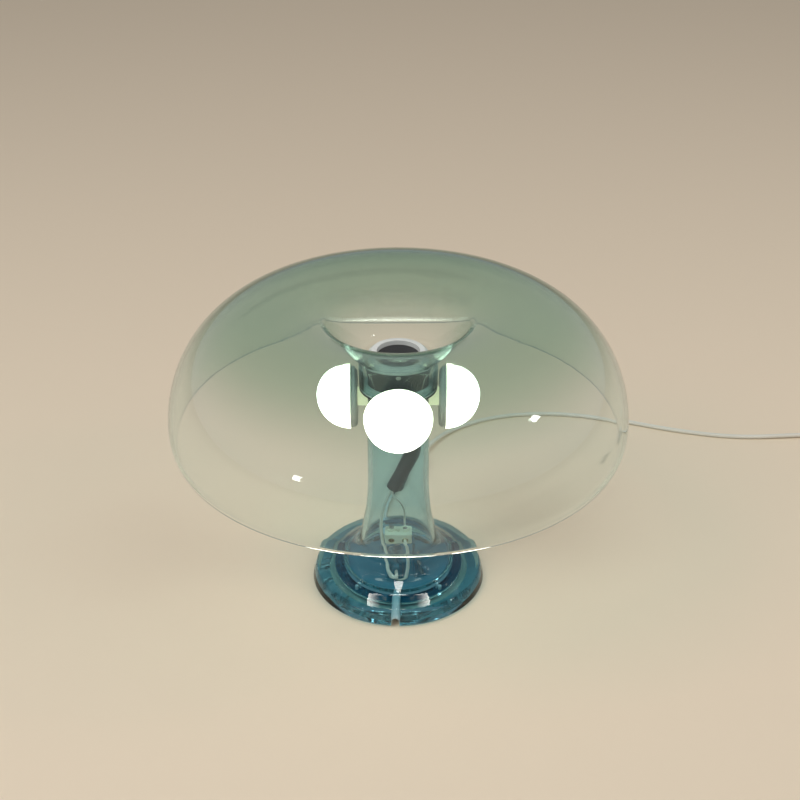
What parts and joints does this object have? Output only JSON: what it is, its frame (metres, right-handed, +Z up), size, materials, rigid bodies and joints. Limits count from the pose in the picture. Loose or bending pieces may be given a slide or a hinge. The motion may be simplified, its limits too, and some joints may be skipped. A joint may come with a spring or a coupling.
{
  "type": "mushroom table lamp",
  "caption": "Table lamp with a clear tinted mushroom shade open in a funnel at the top, round opal bulbs on a dark hub, a clear tube stem on a round foot, and a cord with switch.",
  "frame": {"origin": "on the lamp axis, at the height of the table that the foot ring stands on", "axes": "+Z up along the lamp axis; the front of the lamp looks along -Y; the cord leaves the foot towards +Y"},
  "size_m": [0.6501, 0.3966, 0.2229],
  "materials": {
    "tinted_clear": "gloss",
    "plain_clear": "gloss",
    "clear_rubber": "satin",
    "steel": "satin",
    "black_metal": "satin",
    "dark_metal": "satin",
    "white_enamel": "gloss",
    "black_plastic": "matte",
    "terminal_plastic": "satin",
    "brass": "satin",
    "plated_pin": "polished",
    "lead_white": "satin",
    "lead_dark": "satin",
    "dark_plastic": "satin",
    "cord_clear": "satin",
    "switch_plastic": "satin",
    "socket_ceramic": "matte",
    "opal": "satin",
    "bulb_shell": "satin",
    "board": "matte"
  },
  "bodies": {
    "root": {"base_stem": "tinted_clear", "bottom_plate": "dark_plastic", "cap_screws": "steel", "clamp_screws": "steel", "coil_tie": "black_plastic", "cord_clamp": "plain_clear", "cord_coil": "cord_clear", "cord_inner": "cord_clear", "cord_lead": "cord_clear", "cord_relief": "cord_clear", "cord_tail": "cord_clear", "foot_ring": "clear_rubber", "hub": "dark_metal", "hub_connector": "terminal_plastic", "lead_light": "lead_white", "lead_long": "lead_white", "plate_bolts": "steel", "plate_screws": "steel", "plug": "switch_plastic", "plug_pins": "plated_pin", "riser_lead": "lead_white", "shade_gasket": "clear_rubber", "socket_1": "socket_ceramic", "socket_2": "socket_ceramic", "socket_3": "socket_ceramic", "socket_4": "socket_ceramic", "socket_leads": "lead_white", "socket_plate": "dark_metal", "socket_screws": "steel", "stem_seal": "clear_rubber", "switch_base": "switch_plastic", "switch_contacts": "brass", "switch_cover": "switch_plastic", "switch_reliefs": "switch_plastic", "switch_screws": "steel", "terminal_barrels": "brass", "terminal_block": "terminal_plastic", "terminal_bracket": "black_metal", "terminal_screws": "steel", "top_cap": "black_plastic", "top_ring": "white_enamel", "wire_sleeve": "lead_dark"},
    "shade": {"shade": "tinted_clear"},
    "rocker": {"rocker": "switch_plastic"},
    "bulb_1": {"bulb_1_globe": "opal", "bulb_1_body": "bulb_shell", "bulb_1_board": "board", "bulb_1_pins": "plated_pin"},
    "bulb_2": {"bulb_2_globe": "opal", "bulb_2_body": "bulb_shell", "bulb_2_board": "board", "bulb_2_pins": "plated_pin"},
    "bulb_3": {"bulb_3_globe": "opal", "bulb_3_body": "bulb_shell", "bulb_3_board": "board", "bulb_3_pins": "plated_pin"},
    "bulb_4": {"bulb_4_globe": "opal", "bulb_4_body": "bulb_shell", "bulb_4_board": "board", "bulb_4_pins": "plated_pin"}
  },
  "joints": [
    {"name": "shade_lift", "type": "slide", "parent": "root", "child": "shade", "axis": [0, 0, 1], "range_m": [0, 0.12]},
    {"name": "bulb_1_pull", "type": "slide", "parent": "root", "child": "bulb_1", "axis": [1, 0, 0], "range_m": [0, 0.02]},
    {"name": "bulb_2_pull", "type": "slide", "parent": "root", "child": "bulb_2", "axis": [0, 1, 0], "range_m": [0, 0.02]},
    {"name": "bulb_3_pull", "type": "slide", "parent": "root", "child": "bulb_3", "axis": [-1, 0, 0], "range_m": [0, 0.02]},
    {"name": "bulb_4_pull", "type": "slide", "parent": "root", "child": "bulb_4", "axis": [0, -1, 0], "range_m": [0, 0.02]},
    {"name": "rocker_tilt", "type": "hinge", "parent": "root", "child": "rocker", "pos_m": [0.00667, 0.13378, 0.0095], "axis": [-0.908, 0.4191, 0], "range_deg": [-18, 0]}
  ]
}
